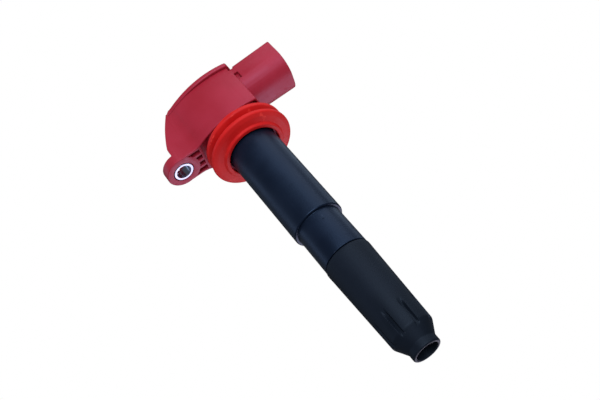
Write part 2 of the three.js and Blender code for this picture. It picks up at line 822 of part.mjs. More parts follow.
export default coil;
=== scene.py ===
from math import acos, asin, atan2, cos, hypot, pi, radians, sin, tan

import bmesh
import bpy
from mathutils import Matrix, Quaternion, Vector


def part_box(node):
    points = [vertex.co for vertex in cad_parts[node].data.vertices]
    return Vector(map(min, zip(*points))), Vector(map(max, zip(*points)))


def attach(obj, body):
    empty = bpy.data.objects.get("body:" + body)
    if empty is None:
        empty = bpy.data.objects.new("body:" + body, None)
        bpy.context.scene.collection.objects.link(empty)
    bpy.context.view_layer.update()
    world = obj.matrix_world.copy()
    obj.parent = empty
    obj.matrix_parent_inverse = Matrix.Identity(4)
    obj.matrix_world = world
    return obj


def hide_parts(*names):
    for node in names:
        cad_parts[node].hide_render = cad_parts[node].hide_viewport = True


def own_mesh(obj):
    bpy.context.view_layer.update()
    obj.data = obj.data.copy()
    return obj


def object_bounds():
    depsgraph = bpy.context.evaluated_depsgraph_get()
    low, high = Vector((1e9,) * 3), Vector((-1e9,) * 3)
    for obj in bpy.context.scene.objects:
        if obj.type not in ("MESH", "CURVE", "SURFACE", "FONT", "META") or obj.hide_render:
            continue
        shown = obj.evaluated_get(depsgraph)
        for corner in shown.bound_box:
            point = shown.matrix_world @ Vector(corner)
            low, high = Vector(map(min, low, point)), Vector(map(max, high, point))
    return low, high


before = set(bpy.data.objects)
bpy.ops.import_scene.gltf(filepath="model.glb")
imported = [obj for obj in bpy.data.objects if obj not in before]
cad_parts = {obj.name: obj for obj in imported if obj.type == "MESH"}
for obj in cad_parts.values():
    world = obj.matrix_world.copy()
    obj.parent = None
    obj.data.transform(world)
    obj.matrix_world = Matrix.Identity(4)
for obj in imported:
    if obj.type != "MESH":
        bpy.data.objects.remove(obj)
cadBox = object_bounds()
scene = bpy.context.scene
scene.view_settings.view_transform = "Standard"

mm = 0.001  # piece sizes below are millimetres, and each finished mesh is brought to metres
fit = 0.3   # room between touching pieces


def span(node):
    low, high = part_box(node)
    return Vector(low) / mm, Vector(high) / mm


viewpoint = {
    "aim": (0.76, -0.14, -49.19),  # a point on the coil's axis
    "azimuth": -10.285,
    "elevation": -33.884,
    "distance": 325.3,
    "roll": 40.775,
    "lens": 46.07,
    "sensor": 36,
}


def placeCamera():
    azimuth, elevation = radians(viewpoint["azimuth"]), radians(viewpoint["elevation"])
    back = Vector((sin(azimuth) * cos(elevation), -cos(azimuth) * cos(elevation), sin(elevation)))
    data = bpy.data.cameras.new("camera")
    data.lens, data.sensor_width = viewpoint["lens"], viewpoint["sensor"]
    data.clip_start, data.clip_end = 0.01, 20
    camera = bpy.data.objects.new("camera", data)
    scene.collection.objects.link(camera)
    camera.rotation_mode = "QUATERNION"
    level = (-back).to_track_quat("-Z", "Y")
    camera.rotation_quaternion = level @ Quaternion((0, 0, 1), -radians(viewpoint["roll"]))
    camera.location = (Vector(viewpoint["aim"]) + back * viewpoint["distance"]) * mm
    scene.camera = camera
    return camera


camera = placeCamera()

# direction is right, up and back as the camera stands; distance and size are metres
softBoxes = {
    "overheadBank": {"direction": (0.02, 1.0, 0.06), "distance": 0.9, "size": (0.8, 0.8), "power": 3.2},
    "rimBank": {"direction": (0.38, 0.66, -0.64), "distance": 0.9, "size": (0.4, 0.5), "power": 0.7,
                "colour": (0.62, 0.78, 1.0)},
    "edgeBank": {"direction": (-0.93, -0.19, -0.31), "distance": 0.8, "size": (0.25, 0.8), "power": 0.8,
                 "colour": (0.55, 0.72, 1.0)},
    "frontBank": {"direction": (-0.1, 0.55, 1.0), "distance": 0.9, "size": (0.6, 0.6), "power": 7.0},
    "lowerBank": {"direction": (0.60, -0.70, -0.38), "distance": 0.8, "size": (0.7, 0.7), "power": 4.2,
                  "colour": (0.86, 0.80, 1.0)},
}
coolLight = (0.86, 0.92, 1.0)
roomLight = {
    "ambient": {"colour": (0.92, 0.95, 1.0), "strength": 0.6},
    "reflected": {"colour": (0.80, 0.90, 1.0), "strength": 0.14},
}
floorSheet = {"halfSize": 3.0, "drop": 0.2, "grey": 0.9, "fadeStart": 0.25, "fadeEnd": 1.1}


def lightStudio():
    target = Vector(viewpoint["aim"]) * mm
    for name, values in softBoxes.items():
        towards = camera.rotation_quaternion @ Vector(values["direction"]).normalized()
        data = bpy.data.lights.new(name, "AREA")
        data.shape = "RECTANGLE"
        data.size, data.size_y = values["size"]
        data.energy, data.color = values["power"], values.get("colour", coolLight)
        lamp = bpy.data.objects.new(name, data)
        scene.collection.objects.link(lamp)
        lamp.location = target + towards * values["distance"]
        lamp.rotation_mode = "QUATERNION"
        lamp.rotation_quaternion = towards.to_track_quat("Z", "Y")
        lamp.visible_camera = False
    world = bpy.data.worlds.new("paleRoom")
    scene.world = world
    world.use_nodes = True
    nodes, links = world.node_tree.nodes, world.node_tree.links
    nodes.clear()
    seen = nodes.new("ShaderNodeBackground")
    seen.inputs["Color"].default_value = (1, 1, 1, 1)
    ambient, dim = nodes.new("ShaderNodeBackground"), nodes.new("ShaderNodeBackground")
    for node, light in ((ambient, roomLight["ambient"]), (dim, roomLight["reflected"])):
        node.inputs["Color"].default_value = (*light["colour"], 1)
        node.inputs["Strength"].default_value = light["strength"]
    path = nodes.new("ShaderNodeLightPath")
    soft, mix = nodes.new("ShaderNodeMixShader"), nodes.new("ShaderNodeMixShader")
    out = nodes.new("ShaderNodeOutputWorld")
    links.new(path.outputs["Is Glossy Ray"], soft.inputs[0])
    links.new(ambient.outputs[0], soft.inputs[1])
    links.new(dim.outputs[0], soft.inputs[2])
    links.new(path.outputs["Is Camera Ray"], mix.inputs[0])
    links.new(soft.outputs[0], mix.inputs[1])
    links.new(seen.outputs[0], mix.inputs[2])
    links.new(mix.outputs[0], out.inputs["Surface"])


def layFloor():
    size, grey = floorSheet["halfSize"], floorSheet["grey"]
    z = cadBox[0].z - floorSheet["drop"] * mm
    data = bpy.data.meshes.new("floor")
    corners = [(-size, -size, z), (size, -size, z), (size, size, z), (-size, size, z)]
    data.from_pydata(corners, [], [(0, 1, 2, 3)])
    floor = bpy.data.objects.new("floor", data)
    scene.collection.objects.link(floor)
    material = bpy.data.materials.new("paleFloor")
    material.use_nodes = True
    nodes, links = material.node_tree.nodes, material.node_tree.links
    nodes.clear()
    paper = nodes.new("ShaderNodeBsdfDiffuse")
    paper.inputs["Color"].default_value = (grey, grey, grey, 1)
    clear = nodes.new("ShaderNodeBsdfTransparent")
    geometry = nodes.new("ShaderNodeNewGeometry")
    length = nodes.new("ShaderNodeVectorMath")
    length.operation = "LENGTH"
    fade = nodes.new("ShaderNodeMapRange")
    fade.inputs["From Min"].default_value = floorSheet["fadeStart"]
    fade.inputs["From Max"].default_value = floorSheet["fadeEnd"]
    either = nodes.new("ShaderNodeMath")
    either.operation = "MAXIMUM"
    mix = nodes.new("ShaderNodeMixShader")
    out = nodes.new("ShaderNodeOutputMaterial")
    links.new(geometry.outputs["Position"], length.inputs[0])
    links.new(length.outputs["Value"], fade.inputs["Value"])
    links.new(geometry.outputs["Backfacing"], either.inputs[0])
    links.new(fade.outputs[0], either.inputs[1])
    links.new(either.outputs[0], mix.inputs[0])
    links.new(paper.outputs[0], mix.inputs[1])
    links.new(clear.outputs[0], mix.inputs[2])
    links.new(mix.outputs[0], out.inputs["Surface"])
    data.materials.append(material)
    # the floor only takes the shadow: it neither blocks the low lights nor shows in the gloss
    floor.visible_shadow = floor.visible_diffuse = floor.visible_glossy = False


lightStudio()
layFloor()
print("camera, floor and light are set")


def newShaderGroup(name, inputs, outputs):
    group = bpy.data.node_groups.new(name, "ShaderNodeTree")
    for label, default in inputs.items():
        socket = group.interface.new_socket(label, in_out="INPUT", socket_type="NodeSocketFloat")
        socket.default_value = default
    for label in outputs:
        group.interface.new_socket(label, in_out="OUTPUT", socket_type="NodeSocketFloat")
    return group, group.nodes.new("NodeGroupInput"), group.nodes.new("NodeGroupOutput")


def noiseNode(nodes, links, coordinates, scale, detail=4.0):
    node = nodes.new("ShaderNodeTexNoise")
    node.inputs["Detail"].default_value = detail
    links.new(coordinates, node.inputs["Vector"])
    if isinstance(scale, (int, float)):
        node.inputs["Scale"].default_value = scale
    else:
        links.new(scale, node.inputs["Scale"])
    return node.outputs["Fac"]


def mathNode(nodes, links, operation, *values):
    node = nodes.new("ShaderNodeMath")
    node.operation = operation
    for i, value in enumerate(values):
        if isinstance(value, (int, float)):
            node.inputs[i].default_value = value
        else:
            links.new(value, node.inputs[i])
    return node.outputs[0]


def rangeNode(nodes, links, value, low, high, toLow=0.0, toHigh=1.0):
    node = nodes.new("ShaderNodeMapRange")
    for socket, amount in (("From Min", low), ("From Max", high), ("To Min", toLow), ("To Max", toHigh)):
        if isinstance(amount, (int, float)):
            node.inputs[socket].default_value = amount
        else:
            links.new(amount, node.inputs[socket])
    links.new(value, node.inputs["Value"])
    return node.outputs[0]


# fine moulded or cast grain, and broad soft patches where the surface differs a little
def buildGrain():
    group, given, out = newShaderGroup(
        "surfaceGrain", {"Grain Scale": 2500, "Patch Scale": 90}, ("Height", "Patch"))
    nodes, links = group.nodes, group.links
    place = nodes.new("ShaderNodeTexCoord").outputs["Object"]
    fine = noiseNode(nodes, links, place, given.outputs["Grain Scale"], 6)
    broad = noiseNode(nodes, links, place, given.outputs["Patch Scale"], 3)
    links.new(fine, out.inputs["Height"])
    links.new(rangeNode(nodes, links, broad, 0.35, 0.65), out.inputs["Patch"])
    return group


# rubbed edges: a mask from how sharply the surface turns, broken up by noise
def buildWear():
    group, given, out = newShaderGroup(
        "edgeWear", {"Onset": 0.53, "Breakup Scale": 900}, ("Mask",))
    nodes, links = group.nodes, group.links
    place = nodes.new("ShaderNodeTexCoord").outputs["Object"]
    turn = nodes.new("ShaderNodeNewGeometry").outputs["Pointiness"]
    full = mathNode(nodes, links, "ADD", given.outputs["Onset"], 0.06)
    edge = rangeNode(nodes, links, turn, given.outputs["Onset"], full)
    breakup = noiseNode(nodes, links, place, given.outputs["Breakup Scale"], 5)
    spots = rangeNode(nodes, links, breakup, 0.42, 0.6)
    links.new(mathNode(nodes, links, "MULTIPLY", edge, spots), out.inputs["Mask"])
    return group


# fine scuffs that run along the piece
def buildScuffs():
    group, given, out = newShaderGroup(
        "handlingScuffs", {"Scale": 400, "Stretch": 0.06}, ("Mask",))
    nodes, links = group.nodes, group.links
    place = nodes.new("ShaderNodeTexCoord").outputs["Object"]
    long = nodes.new("ShaderNodeCombineXYZ")
    long.inputs["X"].default_value = long.inputs["Y"].default_value = 1
    links.new(given.outputs["Stretch"], long.inputs["Z"])
    pulled = nodes.new("ShaderNodeVectorMath")
    pulled.operation = "MULTIPLY"
    links.new(place, pulled.inputs[0])
    links.new(long.outputs[0], pulled.inputs[1])
    lines = noiseNode(nodes, links, pulled.outputs[0], given.outputs["Scale"], 8)
    links.new(rangeNode(nodes, links, lines, 0.58, 0.74), out.inputs["Mask"])
    return group


grainGroup, wearGroup, scuffGroup = buildGrain(), buildWear(), buildScuffs()


def useGroup(nodes, group, values):
    node = nodes.new("ShaderNodeGroup")
    node.node_tree = group
    for label, value in values.items():
        node.inputs[label].default_value = value
    return node.outputs


def mixColours(nodes, links, factor, first, second):
    node = nodes.new("ShaderNodeMix")
    node.data_type = "RGBA"
    links.new(factor, node.inputs[0])
    for index, colour in ((6, first), (7, second)):
        if isinstance(colour, tuple):
            node.inputs[index].default_value = (*colour, 1)
        else:
            links.new(colour, node.inputs[index])
    return node.outputs[2]


plainFinish = {
    "patchScale": 90, "grainScale": 2500, "grainDepth": 0.02, "roughness": (0.4, 0.5),
    "scuffRoughness": 0.12, "scuffStretch": 0.06, "wearOnset": 0.53, "socket": {},
}

finishes = {
    "headPlastic": {
        "base": (0.285, 0.009, 0.019), "patch": (0.320, 0.012, 0.026), "worn": (0.34, 0.022, 0.036),
        "roughness": (0.42, 0.54), "grainScale": 3200, "grainDepth": 0.03, "patchScale": 55,
        "wearOnset": 0.63,
        "socket": {"Specular IOR Level": 0.42, "Specular Tint": (1.0, 0.62, 0.95, 1)}},
    "redSilicone": {
        "base": (0.470, 0.006, 0.006), "patch": (0.525, 0.009, 0.008), "worn": (0.66, 0.03, 0.022),
        "roughness": (0.46, 0.60), "grainScale": 1800, "grainDepth": 0.018, "patchScale": 110,
        "socket": {"Specular IOR Level": 0.25, "Specular Tint": (1.0, 0.55, 0.60, 1)}},
    "casePlastic": {
        "base": (0.0030, 0.0055, 0.0130), "patch": (0.0040, 0.0072, 0.0170), "worn": (0.02, 0.026, 0.045),
        "roughness": (0.36, 0.46), "grainScale": 2600, "grainDepth": 0.02, "patchScale": 60,
        "socket": {"Specular IOR Level": 0.37, "Specular Tint": (0.38, 0.59, 1.0, 1)}},
    "bootRubber": {
        "base": (0.0036, 0.0056, 0.0100), "patch": (0.0050, 0.0074, 0.0134), "worn": (0.016, 0.019, 0.03),
        "roughness": (0.50, 0.62), "grainScale": 2000, "grainDepth": 0.035, "patchScale": 80,
        "socket": {"Specular IOR Level": 0.2, "Specular Tint": (0.60, 0.76, 1.0, 1)}},
    "platedSteel": {
        "base": (0.46, 0.47, 0.56), "patch": (0.40, 0.42, 0.52), "worn": (0.66, 0.67, 0.76),
        "roughness": (0.18, 0.30), "grainScale": 1600, "grainDepth": 0.01, "scuffStretch": 1.5,
        "socket": {"Metallic": 1.0}},
    "tinnedBrass": {
        "base": (0.66, 0.66, 0.64), "patch": (0.58, 0.56, 0.50), "worn": (0.66, 0.52, 0.30),
        "roughness": (0.22, 0.36), "grainScale": 3000, "grainDepth": 0.01, "socket": {"Metallic": 1.0}},
    "brass": {
        "base": (0.60, 0.42, 0.17), "patch": (0.50, 0.34, 0.13), "worn": (0.78, 0.62, 0.34),
        "roughness": (0.24, 0.40), "grainScale": 2200, "grainDepth": 0.01, "socket": {"Metallic": 1.0}},
    "springSteel": {
        "base": (0.42, 0.44, 0.47), "patch": (0.34, 0.35, 0.38), "worn": (0.62, 0.63, 0.65),
        "roughness": (0.22, 0.36), "grainScale": 5000, "grainDepth": 0.01, "socket": {"Metallic": 1.0}},
    "copperWire": {
        "base": (0.52, 0.19, 0.07), "patch": (0.42, 0.14, 0.05), "worn": (0.75, 0.40, 0.22),
        "roughness": (0.20, 0.34), "grainScale": 4000, "grainDepth": 0.01,
        "socket": {"Metallic": 1.0, "Coat Weight": 0.6}},
    "electricalSteel": {
        "base": (0.22, 0.23, 0.25), "patch": (0.16, 0.17, 0.19), "worn": (0.45, 0.46, 0.48),
        "roughness": (0.32, 0.48), "grainScale": 1500, "grainDepth": 0.02, "scuffStretch": 0.01,
        "socket": {"Metallic": 1.0}},
    "magnetMetal": {
        "base": (0.07, 0.07, 0.08), "patch": (0.05, 0.05, 0.06), "worn": (0.30, 0.30, 0.32),
        "roughness": (0.35, 0.50), "grainScale": 1200, "grainDepth": 0.03, "socket": {"Metallic": 0.8}},
    "bobbinPlastic": {
        "base": (0.62, 0.56, 0.42), "patch": (0.68, 0.62, 0.48), "worn": (0.75, 0.70, 0.58),
        "roughness": (0.45, 0.58), "grainScale": 2600, "grainDepth": 0.02},
    "coreRubber": {
        "base": (0.018, 0.016, 0.015), "patch": (0.028, 0.024, 0.022), "worn": (0.06, 0.05, 0.05),
        "roughness": (0.65, 0.80), "grainScale": 1500, "grainDepth": 0.05},
    "blackPlastic": {
        "base": (0.014, 0.015, 0.018), "patch": (0.022, 0.023, 0.027), "worn": (0.06, 0.06, 0.07),
        "roughness": (0.45, 0.60), "grainScale": 2400, "grainDepth": 0.03},
    "boardLaminate": {
        "base": (0.020, 0.110, 0.045), "patch": (0.028, 0.140, 0.060), "worn": (0.30, 0.28, 0.16),
        "roughness": (0.35, 0.50), "grainScale": 1400, "grainDepth": 0.02},
    "capacitorBody": {
        "base": (0.36, 0.17, 0.06), "patch": (0.42, 0.21, 0.08), "worn": (0.50, 0.34, 0.20),
        "roughness": (0.35, 0.50), "grainScale": 1800, "grainDepth": 0.02},
    "pottingResin": {
        "base": (0.010, 0.010, 0.012), "patch": (0.018, 0.018, 0.021), "worn": (0.03, 0.03, 0.035),
        "roughness": (0.15, 0.32), "grainScale": 700, "grainDepth": 0.03, "patchScale": 160,
        "socket": {"Coat Weight": 0.3}},
    "ceramic": {
        "base": (0.72, 0.68, 0.60), "patch": (0.78, 0.75, 0.68), "worn": (0.60, 0.55, 0.48),
        "roughness": (0.30, 0.48), "grainScale": 1500, "grainDepth": 0.02},
}


def makeFinish(name, values):
    values = {**plainFinish, **values}
    material = bpy.data.materials.new(name)
    material.use_nodes = True
    nodes, links = material.node_tree.nodes, material.node_tree.links
    shader = nodes["Principled BSDF"]
    grain = useGroup(nodes, grainGroup, {
        "Grain Scale": values["grainScale"], "Patch Scale": values["patchScale"]})
    wear = useGroup(nodes, wearGroup, {"Onset": values["wearOnset"]})
    scuffs = useGroup(nodes, scuffGroup, {"Stretch": values["scuffStretch"]})
    colour = mixColours(nodes, links, grain["Patch"], values["base"], values["patch"])
    colour = mixColours(nodes, links, wear["Mask"], colour, values["worn"])
    links.new(colour, shader.inputs["Base Color"])
    smooth = rangeNode(nodes, links, grain["Patch"], 0, 1, *values["roughness"])
    scuffed = mathNode(nodes, links, "MULTIPLY", scuffs["Mask"], values["scuffRoughness"])
    links.new(mathNode(nodes, links, "ADD", smooth, scuffed), shader.inputs["Roughness"])
    bump = nodes.new("ShaderNodeBump")
    bump.inputs["Strength"].default_value = 1
    bump.inputs["Distance"].default_value = values["grainDepth"] * mm
    links.new(grain["Height"], bump.inputs["Height"])
    links.new(bump.outputs[0], shader.inputs["Normal"])
    for socket, amount in values["socket"].items():
        shader.inputs[socket].default_value = amount
    return material


materials = {name: makeFinish(name, values) for name, values in finishes.items()}
print("materials are made:", len(materials))


# an outline of (x, y, radius) corners with each corner rounded
def filleted(corners, steps=5):
    points = []
    for i, (x, y, radius) in enumerate(corners):
        here = Vector((x, y))
        before = Vector(corners[i - 1][:2]) - here
        after = Vector(corners[(i + 1) % len(corners)][:2]) - here
        angle = before.angle(after)
        if not radius or angle > pi - 0.02:
            points.append(here)
            continue
        setback = min(radius / tan(angle / 2), before.length * 0.49, after.length * 0.49)
        radius = setback * tan(angle / 2)
        inward = (before.normalized() + after.normalized()).normalized()
        centre = here + inward * (radius / sin(angle / 2))
        start = here + before.normalized() * setback - centre
        end = here + after.normalized() * setback - centre
        first = atan2(start.y, start.x)
        turn = (atan2(end.y, end.x) - first + pi) % (2 * pi) - pi
        for k in range(steps + 1):
            a = first + turn * k / steps
            points.append(centre + Vector((cos(a), sin(a))) * radius)
    return points


def newPiece(name, bm):
    bmesh.ops.remove_doubles(bm, verts=bm.verts, dist=1e-4)
    bmesh.ops.recalc_face_normals(bm, faces=bm.faces)
    mesh = bpy.data.meshes.new(name)
    bm.to_mesh(mesh)
    bm.free()
    piece = bpy.data.objects.new(name, mesh)
    scene.collection.objects.link(piece)
    return piece


# rings of the same count, joined in order; the ends are capped, or joined to each other
def loft(name, rings, looped=False):
    bm = bmesh.new()
    rows = [[bm.verts.new(point) for point in ring] for ring in rings]
    count = len(rows[0])
    pairs = list(zip(rows, rows[1:])) + ([(rows[-1], rows[0])] if looped else [])
    for lower, upper in pairs:
        for i in range(count):
            j = (i + 1) % count
            bm.faces.new((lower[i], lower[j], upper[j], upper[i]))
    if not looped:
        bm.faces.new(list(reversed(rows[0])))
        bm.faces.new(rows[-1])
    return newPiece(name, bm)


# a closed outline of (radius, height) turned about Z
def turned(name, outline, steps=128, centre=(0, 0)):
    rings = []
    for i in range(steps):
        a = 2 * pi * i / steps
        rings.append([(centre[0] + r * cos(a), centre[1] + r * sin(a), z) for r, z in outline])
    return loft(name, rings, looped=True)


def rod(name, radius, low, high, centre=(0, 0), edge=0):
    outline = filleted([(0, low, 0), (radius, low, edge), (radius, high, 0), (0, high, 0)])
    return turned(name, outline, 96, centre)


def block(name, low, high):
    ring = [(low[0], low[1]), (high[0], low[1]), (high[0], high[1]), (low[0], high[1])]
    return loft(name, [[(x, y, z) for x, y in ring] for z in (low[2], high[2])])


# (grow, height) pairs of a rounded edge from a face up to the wall, or the other way
def roundedEdge(face, direction, radius, steps=5):
    turns = [pi / 2 * k / steps for k in range(steps + 1)]
    return [(radius * (sin(t) - 1), face + direction * radius * (1 - cos(t))) for t in turns]


def prism(name, outlineAt, low, high, lowRound=0, highRound=0):
    levels = roundedEdge(low, 1, lowRound) if lowRound else [(0, low)]
    levels += list(reversed(roundedEdge(high, -1, highRound))) if highRound else [(0, high)]
    return loft(name, [[(x, y, z) for x, y in outlineAt(grow)] for grow, z in levels])


def evaluated(piece):
    graph = bpy.context.evaluated_depsgraph_get()
    mesh = bpy.data.meshes.new_from_object(piece.evaluated_get(graph))
    piece.modifiers.clear()
    piece.data = mesh
    return piece


def combine(piece, tool, operation):
    change = piece.modifiers.new("change", "BOOLEAN")
    change.operation, change.object, change.solver = operation, tool, "MANIFOLD"
    evaluated(piece)
    bpy.data.objects.remove(tool)
    return piece


def join(piece, tool):
    return combine(piece, tool, "UNION")


def cut(piece, tool):
    return combine(piece, tool, "DIFFERENCE")


# a narrow bevel on every outer edge that is sharper than an angle
def softenEdges(piece, width, sharpest=40):
    bm = bmesh.new()
    bm.from_mesh(piece.data)
    bmesh.ops.remove_doubles(bm, verts=bm.verts, dist=1e-3)
    bmesh.ops.dissolve_limit(bm, angle_limit=radians(0.5), verts=bm.verts, edges=bm.edges)
    edges = [e for e in bm.edges
             if len(e.link_faces) == 2 and e.calc_face_angle_signed(0) > radians(sharpest)]
    bmesh.ops.bevel(bm, geom=edges, offset=width, offset_type="OFFSET", segments=2,
                    profile=0.5, affect="EDGES", clamp_overlap=True)
    bm.to_mesh(piece.data)
    bm.free()
    return piece


def finishPiece(piece, material, nodes, body="coil"):
    piece.data.transform(Matrix.Scale(mm, 4))
    for face in piece.data.polygons:
        face.use_smooth = True
    piece.data.set_sharp_from_angle(angle=radians(32))
    piece.data.materials.clear()
    piece.data.materials.append(materials[material])
    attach(piece, body)
    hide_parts(*nodes)
    return piece


def newTree(name, inputs):
    tree = bpy.data.node_groups.new(name, "GeometryNodeTree")
    tree.interface.new_socket("Geometry", in_out="INPUT", socket_type="NodeSocketGeometry")
    for label, kind in inputs.items():
        tree.interface.new_socket(label, in_out="INPUT", socket_type="NodeSocket" + kind)
    tree.interface.new_socket("Geometry", in_out="OUTPUT", socket_type="NodeSocketGeometry")
    given, out = tree.nodes.new("NodeGroupInput"), tree.nodes.new("NodeGroupOutput")
    return tree, given.outputs, out.inputs


# realize, give the material and send the result out
def closeTree(tree, given, out, geometry):
    realize = tree.nodes.new("GeometryNodeRealizeInstances")
    coat = tree.nodes.new("GeometryNodeSetMaterial")
    tree.links.new(geometry, realize.inputs[0])
    tree.links.new(realize.outputs[0], coat.inputs["Geometry"])
    tree.links.new(given["Material"], coat.inputs["Material"])
    tree.links.new(coat.outputs[0], out["Geometry"])
    return tree


def applyTree(piece, tree, values):
    modifier = piece.modifiers.new(tree.name, "NODES")
    modifier.node_group = tree
    keys = {item.name: item.identifier for item in tree.interface.items_tree if item.in_out == "INPUT"}
    for label, value in values.items():
        modifier[keys[label]] = value
    return evaluated(piece)


# a round wire wound on a cylinder; the end turns lie closer together than the rest
def buildWoundWire():
    tree, given, out = newTree("woundWire", {
        "Turns": "Float", "Radius": "Float", "Wire Radius": "Float", "Low": "Float", "High": "Float",
        "End Share": "Float", "Close Rise": "Float", "Steps": "Int", "Sides": "Int",
        "Material": "Material"})
    nodes, links = tree.nodes, tree.links
    spiral = nodes.new("GeometryNodeCurveSpiral")
    links.new(given["Steps"], spiral.inputs["Resolution"])
    links.new(given["Turns"], spiral.inputs["Rotations"])
    links.new(given["Radius"], spiral.inputs["Start Radius"])
    links.new(given["Radius"], spiral.inputs["End Radius"])
    spiral.inputs["Height"].default_value = 0
    along = nodes.new("GeometryNodeSplineParameter").outputs["Factor"]
    length = mathNode(nodes, links, "SUBTRACT", given["High"], given["Low"])
    rest = mathNode(nodes, links, "SUBTRACT", length, given["Close Rise"])
    far = mathNode(nodes, links, "SUBTRACT", 1, given["End Share"])
    middle = rangeNode(nodes, links, along, given["End Share"], far)
    rise = mathNode(nodes, links, "ADD",
                    mathNode(nodes, links, "MULTIPLY", along, given["Close Rise"]),
                    mathNode(nodes, links, "MULTIPLY", middle, rest))
    height = mathNode(nodes, links, "ADD", given["Low"], rise)
    offset = nodes.new("ShaderNodeCombineXYZ")
    links.new(height, offset.inputs["Z"])
    lift = nodes.new("GeometryNodeSetPosition")
    links.new(spiral.outputs[0], lift.inputs["Geometry"])
    links.new(offset.outputs[0], lift.inputs["Offset"])
    section = nodes.new("GeometryNodeCurvePrimitiveCircle")
    links.new(given["Sides"], section.inputs["Resolution"])
    links.new(given["Wire Radius"], section.inputs["Radius"])
    sweep = nodes.new("GeometryNodeCurveToMesh")
    sweep.inputs["Fill Caps"].default_value = True
    links.new(lift.outputs[0], sweep.inputs["Curve"])
    links.new(section.outputs[0], sweep.inputs["Profile Curve"])
    return closeTree(tree, given, out, sweep.outputs[0])


# copies of the given mesh in a row along Y, centred
def buildRow():
    tree, given, out = newTree("evenRow", {"Count": "Int", "Pitch": "Float", "Material": "Material"})
    nodes, links = tree.nodes, tree.links
    gaps = mathNode(nodes, links, "SUBTRACT", given["Count"], 1)
    first = mathNode(nodes, links, "MULTIPLY",
                     mathNode(nodes, links, "MULTIPLY", gaps, given["Pitch"]), -0.5)
    start, step = nodes.new("ShaderNodeCombineXYZ"), nodes.new("ShaderNodeCombineXYZ")
    links.new(first, start.inputs["Y"])
    links.new(given["Pitch"], step.inputs["Y"])
    line = nodes.new("GeometryNodeMeshLine")
    links.new(given["Count"], line.inputs["Count"])
    links.new(start.outputs[0], line.inputs["Start Location"])
    links.new(step.outputs[0], line.inputs["Offset"])
    copies = nodes.new("GeometryNodeInstanceOnPoints")
    links.new(line.outputs[0], copies.inputs["Points"])
    links.new(given["Geometry"], copies.inputs["Instance"])
    return closeTree(tree, given, out, copies.outputs[0])


# moves the wall towards a target radius in even stripes about Z, fading in along the height
def buildStripes():
    tree, given, out = newTree("evenStripes", {
        "Count": "Float", "Turn": "Float", "Centre X": "Float", "Half Width": "Float",
        "Least Radius": "Float", "Most Radius": "Float", "Target Radius": "Float",
        "Fade Start": "Float", "Fade End": "Float", "Material": "Material"})
    nodes, links = tree.nodes, tree.links

    def calc(operation, *values):
        return mathNode(nodes, links, operation, *values)

    split = nodes.new("ShaderNodeSeparateXYZ")
    links.new(nodes.new("GeometryNodeInputPosition").outputs[0], split.inputs[0])
    x = calc("SUBTRACT", split.outputs["X"], given["Centre X"])
    y = split.outputs["Y"]
    radius = calc("SQRT", calc("ADD", calc("MULTIPLY", x, x), calc("MULTIPLY", y, y)))
    pitch = calc("DIVIDE", 2 * pi, given["Count"])
    angle = calc("SUBTRACT", calc("ARCTAN2", y, x), given["Turn"])
    folded = calc("WRAP", angle, calc("MULTIPLY", pitch, 0.5), calc("MULTIPLY", pitch, -0.5))
    across = calc("ABSOLUTE", calc("MULTIPLY", radius, folded))
    edge = nodes.new("ShaderNodeMapRange")
    edge.interpolation_type = "SMOOTHSTEP"
    links.new(across, edge.inputs["Value"])
    links.new(calc("MULTIPLY", given["Half Width"], 0.45), edge.inputs["From Min"])
    links.new(given["Half Width"], edge.inputs["From Max"])
    edge.inputs["To Min"].default_value, edge.inputs["To Max"].default_value = 1, 0
    fade = nodes.new("ShaderNodeMapRange")
    fade.interpolation_type = "SMOOTHSTEP"
    links.new(split.outputs["Z"], fade.inputs["Value"])
    links.new(given["Fade Start"], fade.inputs["From Min"])
    links.new(given["Fade End"], fade.inputs["From Max"])
    inside = calc("MULTIPLY", calc("GREATER_THAN", radius, given["Least Radius"]),
                  calc("LESS_THAN", radius, given["Most Radius"]))
    share = calc("MULTIPLY", calc("MULTIPLY", edge.outputs[0], fade.outputs[0]), inside)
    move = calc("DIVIDE", calc("MULTIPLY", share, calc("SUBTRACT", given["Target Radius"], radius)),
                calc("MAXIMUM", radius, 0.001))
    offset = nodes.new("ShaderNodeCombineXYZ")
    links.new(calc("MULTIPLY", x, move), offset.inputs["X"])
    links.new(calc("MULTIPLY", y, move), offset.inputs["Y"])
    shift = nodes.new("GeometryNodeSetPosition")
    links.new(given["Geometry"], shift.inputs["Geometry"])
    links.new(offset.outputs[0], shift.inputs["Offset"])
    return closeTree(tree, given, out, shift.outputs[0])


woundWireTree, rowTree, stripeTree = buildWoundWire(), buildRow(), buildStripes()
print("geometry node trees are built")


headLow, headHigh = span("housing")
coverLow, coverHigh = span("top_cover")
bushingLow, bushingHigh = span("bolt_bushing")
boltX = (bushingLow.x + bushingHigh.x) / 2
bushingRadius = bushingHigh.y

head = {
    "wall": 1.8, "floor": 2.2, "rim": 26.7, "widestX": 3.7, "sideRadius": 45.5,
    "endX": 15.2, "endRadius": 53, "cornerRound": 0.9, "footRound": 0.5,
    "halfWidth": headHigh.y, "webHalfWidth": 8, "webRound": 12,
    "earThickness": 5, "earRadius": boltX - headLow.x, "earRound": 0.45,
    "wellRadius": 6.3, "bossRadius": 8.3,
    "collarRadius": 13.6, "collarRound": 0.3, "tubeHole": 12.3, "edgeRound": 0.22,
}

# half the width of a tool that cuts right through the head
beyond = 20

wing = {"endX": boltX - 0.7, "step": 4.5, "bulge": 0.7, "ledge": 0.7, "top": 28.2}
pocket = {"count": 4, "rib": 1.1, "edge": 0.85, "depth": 14, "rightX": -20.3}

# a groove runs under the cover and fades out towards the ear, like the cover's overhang
groove = {"depth": 0.9, "low": 22.4, "full": 24.4, "fadeStart": -21, "fadeEnd": 4, "endX": 14.3}

